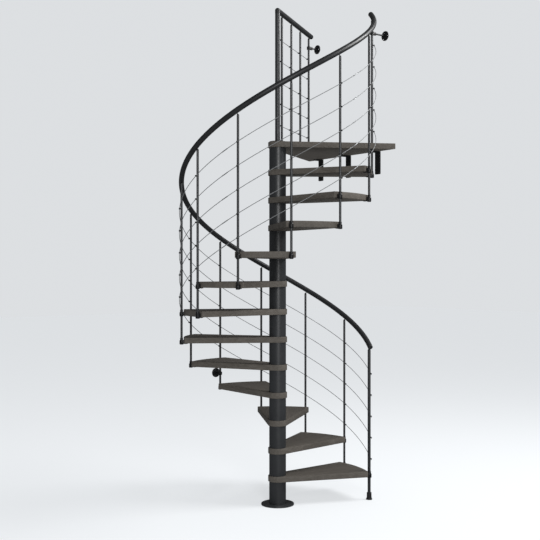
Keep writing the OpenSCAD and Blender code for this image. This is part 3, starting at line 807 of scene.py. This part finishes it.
first_clamp = copies_of(tread_clamp(baluster_radii[0], False), [clamp_place(0, 1)])
open_clamps = copies_of(tread_clamp(post_radius, False),
                        [clamp_place(number, number + 1) for number in range(1, 12)])
sockets = copies_of(tread_clamp(post_radius, True),
                    [clamp_place(number, number) for number in range(1, 13)])
tube_bore = post_radius + TUBE_FIT
BUSH_WALL = 3 * MM
bush_outer = tube_bore + BUSH_WALL
bush_rim = bush_outer + BUSH_WALL
bush_top = TREAD_THICKNESS + 4 * MM
bush = turned("bush", [
    (tube_bore, 0), (bush_rim - 1.5 * MM, 0), (bush_rim, 1.5 * MM), (bush_rim, 4 * MM),
    (bush_outer, 4 * MM), (bush_outer, bush_top), (bush_rim, bush_top),
    (bush_rim, bush_top + 1 * MM), (bush_rim - 1.5 * MM, bush_top + 2.5 * MM),
    (tube_bore, bush_top + 2.5 * MM), (tube_bore, 0)], 56)
bush.location = (last_x, last_y, landing_low.z - 4 * MM)
clamps = joined([first_clamp, open_clamps, sockets, bush])
clamps.name = "cast_tread_clamps"
clamps.data.materials.append(fittings_black)
fit(clamps, "black_fittings", "tread_clamps")

# ---------------------------------------------------------------- cables and clips
# Five taut cables climb outside the balusters, and five run along the landing's railing. Clips
# on the balusters hold them, with the cable through a bore in each clip. Each
# stair cable is joined from three lengths by two slim swaged couplings.
CABLE_OFFSET = 15.5 * MM
CABLE_RADIUS = 2.5 * MM
CABLE_SPACING = 172.5 * MM
CABLE_TAIL = 12 * MM
CLIP_RADIUS = 6 * MM
CLIP_BORE = CABLE_RADIUS + 0.4 * MM
cable_circle = baluster_circle + CABLE_OFFSET
cable_slope = helix_slope(cable_circle)
top_cable = rail_height - 235 * MM
top_landing_cable = landing_rail_z - 209.5 * MM
CABLES = range(5)


def cable_clip(size, slope):
    """A round clip that stands out from a baluster along +X, grooved for a climbing cable."""
    reach = CABLE_OFFSET + CLIP_RADIUS
    inner = size - 2 * MM
    clip = turned("clip", [
        (0, inner), (CLIP_RADIUS, inner), (CLIP_RADIUS, reach - 1.6 * MM),
        (CLIP_RADIUS - 0.5 * MM, reach - 0.5 * MM), (CLIP_RADIUS - 1.6 * MM, reach),
        (0, reach)], 28)
    clip.rotation_euler = (0, math.pi / 2, 0)
    bpy.ops.object.select_all(action="DESELECT")
    clip.select_set(True)
    bpy.context.view_layer.objects.active = clip
    bpy.ops.object.transform_apply(location=True, rotation=True, scale=True)
    combine(clip, rod(size + TUBE_FIT, (0, 0, -20 * MM), (0, 0, 20 * MM), 40), "DIFFERENCE")
    along = Vector((0, math.cos(slope), math.sin(slope))) * 20 * MM
    middle = Vector((CABLE_OFFSET, 0, 0))
    combine(clip, rod(CLIP_BORE, middle - along, middle + along, 24), "DIFFERENCE")
    return clip


first_clips = copies_of(cable_clip(baluster_radii[0], cable_slope), [
    (start_angle, (*baluster_places[0], top_cable - CABLE_SPACING * cable)) for cable in CABLES])
stair_clips = copies_of(cable_clip(post_radius, cable_slope), [
    (start_angle + STEP * number,
     (*baluster_places[number], top_cable - CABLE_SPACING * cable + RISE * number))
    for number in range(1, 13) for cable in CABLES])
level_clips = copies_of(cable_clip(post_radius, 0), [
    (LANDING_TURN + math.pi / 2,
     (*on_landing_rail(along), top_landing_cable - CABLE_SPACING * cable))
    for along in LANDING_BALUSTERS for cable in CABLES])
clips = joined([first_clips, stair_clips, level_clips])
clips.name = "cable_clips_on_balusters"
clips.data.materials.append(fittings_black)
fit(clips, "black_fittings", "cable_clips")


def stranded_steel_material():
    """Bright stainless wire laid in strands, from each point's run along and round its cable. The
    colour is painted darker in the grooves between the strands, as painted shade.
    """
    material, tree, shader = new_material("stranded_stainless")
    place = add_node(tree, "ShaderNodeAttribute", attribute_name="strand")
    apart = add_node(tree, "ShaderNodeSeparateXYZ", {"Vector": place.outputs["Vector"]})
    around = add_node(tree, "ShaderNodeMath", {0: apart.outputs["Z"], 1: apart.outputs["Y"]},
                      operation="ARCTAN2")
    strands = add_node(tree, "ShaderNodeMath", {0: around.outputs["Value"], 1: 7.0},
                       operation="MULTIPLY")
    lay = add_node(tree, "ShaderNodeMath", {0: apart.outputs["X"], 1: 1100.0,
                                            2: strands.outputs["Value"]},
                   operation="MULTIPLY_ADD")
    wave = add_node(tree, "ShaderNodeMath", {0: lay.outputs["Value"]}, operation="SINE")
    # Painted shade: the base colour falls to 0.72 of the wire's own in each groove between strands,
    # where the wave runs low
    painted_groove_shade = add_node(tree, "ShaderNodeMapRange", {"Value": wave.outputs["Value"],
                                                   "From Min": -1.0, "From Max": 0.2,
                                                   "To Min": 0.72, "To Max": 1.0})
    tint = add_node(tree, "ShaderNodeVectorMath", {0: (0.21, 0.215, 0.22)}, operation="SCALE")
    tree.links.new(painted_groove_shade.outputs["Result"], tint.inputs["Scale"])
    tree.links.new(tint.outputs["Vector"], shader.inputs["Base Color"])
    bump = add_node(tree, "ShaderNodeBump", {"Height": wave.outputs["Value"],
                                             "Strength": 0.2, "Distance": 0.2 * MM})
    tree.links.new(bump.outputs["Normal"], shader.inputs["Normal"])
    shader.inputs["Metallic"].default_value = 0.45
    shader.inputs["Roughness"].default_value = 0.60
    return material


def plain_steel_material():
    """Smooth swaged stainless with fine turning lines."""
    material, tree, shader = new_material("swaged_stainless")
    place = add_node(tree, "ShaderNodeTexCoord")
    lines = add_node(tree, "ShaderNodeTexNoise", {"Vector": place.outputs["Object"],
                                                  "Scale": 260.0, "Detail": 3.0})
    rough = add_node(tree, "ShaderNodeMapRange", {"Value": lines.outputs["Fac"],
                                                  "To Min": 0.26, "To Max": 0.42})
    tree.links.new(rough.outputs["Result"], shader.inputs["Roughness"])
    shader.inputs["Base Color"].default_value = (0.19, 0.195, 0.20, 1)
    shader.inputs["Metallic"].default_value = 0.45
    return material


def mark_strands(piece, run_of):
    """Keeps each point's run along its cable, and the direction it faces round the cable."""
    strand = piece.data.attributes.new("strand", "FLOAT_VECTOR", "POINT")
    for point, vertex in zip(strand.data, piece.data.vertices):
        point.vector = run_of(vertex.co)


def run_up_helix(spot):
    """Run along and round a stair cable that is still unturned, starting at height zero."""
    turn = (math.atan2(spot.y, spot.x) + 0.05) % math.tau - 0.05
    rise = spot.z - RISE * turn / STEP
    return (cable_circle * turn / math.cos(cable_slope), spot.xy.length - cable_circle,
            rise / math.cos(cable_slope))


stranded_steel = stranded_steel_material()
swaged_steel = plain_steel_material()
tail_steps = CABLE_TAIL / (cable_circle * STEP)
COUPLING_PLACES = (7.745, 10.37)
coupling_steps = 25 * MM / (cable_circle * STEP)
cable = helix_rod("cable", cable_circle, CABLE_RADIUS, 0, -tail_steps, 12 + tail_steps, 14, 14)
mark_strands(cable, run_up_helix)
cable_turn = cable.rotation_euler.z
cable_start = cable.location.z
stair_cables = copies_of(cable, [
    (cable_turn, (0, 0, cable_start + top_cable - CABLE_SPACING * cable)) for cable in CABLES])
stair_cables.name = "stair_cables_five"
stair_cables.data.materials.append(stranded_steel)
fit(stair_cables, "steel_cable", "stair_cables")

coupling = helix_rod("coupling", cable_circle, 3.5 * MM, 0, 0, 2 * coupling_steps, 28, 24)
pick_edges(coupling, lambda a, b: True)
bpy.ops.mesh.select_all(action="DESELECT")
bpy.ops.mesh.edges_select_sharp(sharpness=math.radians(60))
bpy.ops.mesh.bevel(offset=0.9 * MM, segments=2, affect="EDGES")
bpy.ops.object.mode_set(mode="OBJECT")
couplings = copies_of(coupling, [
    (start_angle + STEP * (at - coupling_steps),
     (0, 0, top_cable - CABLE_SPACING * cable + RISE * (at - coupling_steps)))
    for at in COUPLING_PLACES for cable in CABLES])
couplings.name = "cable_couplings"
couplings.data.materials.append(swaged_steel)
fit(couplings, "steel_cable")

cable_from = on_landing_rail(LANDING_BALUSTERS[0] - CABLE_TAIL, CABLE_OFFSET)
cable_length = LANDING_BALUSTERS[-1] - LANDING_BALUSTERS[0] + 2 * CABLE_TAIL
straight = turned("straight_cable", [
    (0, 0), (CABLE_RADIUS - 0.4 * MM, 0), (CABLE_RADIUS, 0.4 * MM),
    (CABLE_RADIUS, cable_length - 0.4 * MM), (CABLE_RADIUS - 0.4 * MM, cable_length),
    (0, cable_length)], 20)
mark_strands(straight, lambda spot: (spot.z, spot.x, spot.y))
straight.rotation_euler.y = math.pi / 2
landing_cables = copies_of(straight, [
    (LANDING_TURN, (*cable_from, top_landing_cable - CABLE_SPACING * cable)) for cable in CABLES])
landing_cables.name = "landing_cables_five"
landing_cables.data.materials.append(stranded_steel)
fit(landing_cables, "steel_cable", "landing_cables")

# ---------------------------------------------------------------- wall brackets
# Three balusters are tied to the walls. A ring with a bolted lug grips the baluster, and a round
# arm runs from it to a rosette that three bright countersunk screws hold to the wall.
RING_HEIGHT = 26 * MM
LUG_END = 40 * MM
LUG_WIDTH = 16 * MM
BOLT_PLACE = 32 * MM
ARM_RADIUS = 6.5 * MM
ROSETTE_RADIUS = 39.5 * MM
ROSETTE_THICKNESS = 6 * MM
ROSETTE_HOLE = 2.75 * MM
SCREW_CIRCLE = 27 * MM
bright_screws = coated("bright_zinc", (0.62, 0.63, 0.65), 0.24, 0.15, 0.5)
bright_screws.node_tree.nodes["Principled BSDF"].inputs["Metallic"].default_value = 1.0


def screw_places(wall):
    """The three places of a rosette's screws, one of them towards local -Y."""
    return [(wall, SCREW_CIRCLE * math.cos(turn), SCREW_CIRCLE * math.sin(turn))
            for turn in (math.pi, math.pi / 3, -math.pi / 3)]


def wall_bracket(name, node, spot, wall, turn):
    """A bracket with its ring at the spot and its wall that far away along its own +X."""
    bore = post_radius + TUBE_FIT
    outer = bore + CLAMP_WALL
    half = RING_HEIGHT / 2
    ring = turned("ring", [
        (0, -half), (outer - 1.5 * MM, -half), (outer, 1.5 * MM - half),
        (outer, half - 1.5 * MM), (outer - 1.5 * MM, half), (0, half)], 56)
    lug = block((LUG_END - bore, LUG_WIDTH, RING_HEIGHT - 1 * MM), ((LUG_END + bore) / 2, 0, 0))
    pick_edges(lug, lambda a, b: True)
    bpy.ops.mesh.bevel(offset=1.5 * MM, segments=2, affect="EDGES")
    bpy.ops.object.mode_set(mode="OBJECT")
    combine(ring, lug, "UNION")
    combine(ring, rod(ARM_RADIUS, (LUG_END - 2 * MM, 0, 0), (wall - 3 * MM, 0, 0), 40), "UNION")
    rosette = turned("rosette", [
        (0, 0), (ROSETTE_RADIUS, 0), (ROSETTE_RADIUS, ROSETTE_THICKNESS - 2.4 * MM),
        (ROSETTE_RADIUS - 0.7 * MM, ROSETTE_THICKNESS - 0.7 * MM),
        (ROSETTE_RADIUS - 2.4 * MM, ROSETTE_THICKNESS), (0, ROSETTE_THICKNESS)], 96)
    rosette.rotation_euler.y = -math.pi / 2
    rosette.location.x = wall
    combine(ring, rosette, "UNION")
    combine(ring, rod(bore, (0, 0, -RING_HEIGHT), (0, 0, RING_HEIGHT), 48), "DIFFERENCE")
    for x, y, z in screw_places(wall):
        combine(ring, rod(ROSETTE_HOLE, (x - 30 * MM, y, z), (x + 30 * MM, y, z), 24),
                "DIFFERENCE")
    bolt = rod(5 * MM, (BOLT_PLACE, -LUG_WIDTH / 2 - 4 * MM, 0),
               (BOLT_PLACE, LUG_WIDTH / 2 + 4 * MM, 0), 6)
    pick_edges(bolt, lambda a, b: True)
    bpy.ops.mesh.bevel(offset=0.6 * MM, segments=1, affect="EDGES")
    bpy.ops.object.mode_set(mode="OBJECT")
    bracket = joined([ring, bolt])
    bracket.name = name
    bracket.rotation_euler.z = turn
    bracket.location = spot
    bracket.data.materials.clear()
    bracket.data.materials.append(fittings_black)
    fit(bracket, "black_brackets", node)
    heads = []
    for x, y, z in screw_places(wall - ROSETTE_THICKNESS):
        head = turned("head", [
            (0, -ROSETTE_THICKNESS), (ROSETTE_HOLE - 0.15 * MM, -ROSETTE_THICKNESS),
            (ROSETTE_HOLE - 0.15 * MM, 0), (5 * MM, 0), (4.7 * MM, 0.9 * MM),
            (3.6 * MM, 1.9 * MM), (1.9 * MM, 2.5 * MM), (1.7 * MM, 1.2 * MM),
            (0, 1.2 * MM)], 24)
        head.rotation_euler.y = -math.pi / 2
        head.location = (x, y, z)
        heads.append(head)
    screws = joined(heads)
    bpy.ops.object.transform_apply(location=True, rotation=True, scale=True)
    screws.name = name + "_screws"
    screws.rotation_euler.z = turn
    screws.location = spot
    screws.data.materials.append(bright_screws)
    fit(screws, None)


for name, node, place, wall_axis in (
        ("side_wall_bracket", "wall_bracket_side", baluster_places[4], 1),
        ("stair_wall_bracket", "wall_bracket_stair", baluster_places[12], 0),
        ("landing_wall_bracket", "wall_bracket_landing",
         on_landing_rail(LANDING_BALUSTERS[-1]), 0)):
    low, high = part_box(node)
    middle = (low.z + high.z) / 2
    wall_bracket(name, node, (*place, middle), high[wall_axis] - place[wall_axis],
                 math.pi / 2 * wall_axis)

# ---------------------------------------------------------------- landing brackets
# Three angle brackets of flat bar carry the landing's edge. Two black bolts with washers hold
# each one's long leg to the wall, and its short leg lies under the board.
BRACKET_WIDTH = 60 * MM
BRACKET_THICKNESS = 8 * MM
BRACKET_HOLE = 5.5 * MM
HOLE_SPACING = 90 * MM
bracket_low, bracket_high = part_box("landing_brackets")
bracket_reach = bracket_high.x - bracket_low.x
bracket_drop = bracket_high.z - bracket_low.z
upper = block((bracket_reach, BRACKET_WIDTH, BRACKET_THICKNESS),
              (bracket_reach / 2, 0, bracket_drop - BRACKET_THICKNESS / 2))
leg = block((BRACKET_THICKNESS, BRACKET_WIDTH, bracket_drop),
            (bracket_reach - BRACKET_THICKNESS / 2, 0, bracket_drop / 2))
combine(upper, leg, "UNION")
pick_edges(upper, lambda a, b: (a.yz - b.yz).length < 0.1 * MM
           and min(a.z, bracket_drop - a.z) < BRACKET_THICKNESS + 0.1 * MM
           and abs(abs(a.y) - BRACKET_WIDTH / 2) < 0.1 * MM and a.z < 0.1 * MM)
bpy.ops.mesh.bevel(offset=9 * MM, segments=6, affect="EDGES")
bpy.ops.object.mode_set(mode="OBJECT")
for side in (-1, 1):
    z = (bracket_drop - BRACKET_THICKNESS) / 2 + side * HOLE_SPACING / 2
    combine(upper, rod(BRACKET_HOLE, (0, 0, z), (2 * bracket_reach, 0, z), 32), "DIFFERENCE")
pick_edges(upper, lambda a, b: True)
bpy.ops.mesh.select_all(action="DESELECT")
bpy.ops.mesh.edges_select_sharp(sharpness=math.radians(50))
bpy.ops.mesh.bevel(offset=0.8 * MM, segments=2, affect="EDGES", clamp_overlap=True)
bpy.ops.object.mode_set(mode="OBJECT")
bolts = []
for side in (-1, 1):
    head_from = bracket_reach - BRACKET_THICKNESS
    z = (bracket_drop - BRACKET_THICKNESS) / 2 + side * HOLE_SPACING / 2
    washer = turned("washer", [
        (0, -BRACKET_THICKNESS), (5 * MM, -BRACKET_THICKNESS), (5 * MM, 0), (11 * MM, 0),
        (11 * MM, 1 * MM), (10.2 * MM, 1.8 * MM), (0, 1.8 * MM)], 40)
    washer.rotation_euler.y = -math.pi / 2
    washer.location = (head_from, 0, z)
    hexagon = rod(9.4 * MM, (head_from - 1.8 * MM, 0, z), (head_from - 8 * MM, 0, z), 6)
    pick_edges(hexagon, lambda a, b: True)
    bpy.ops.mesh.bevel(offset=0.7 * MM, segments=1, affect="EDGES")
    bpy.ops.object.mode_set(mode="OBJECT")
    bolts += [washer, hexagon]
upper = joined([upper, *bolts])
brackets = copies_of(upper, [(0, (bracket_low.x, y * MM, bracket_low.z))
                             for y in (400, 40, -318)])
brackets.name = "landing_angle_brackets"
brackets.data.materials.append(fittings_black)
fit(brackets, "black_brackets", "landing_brackets")
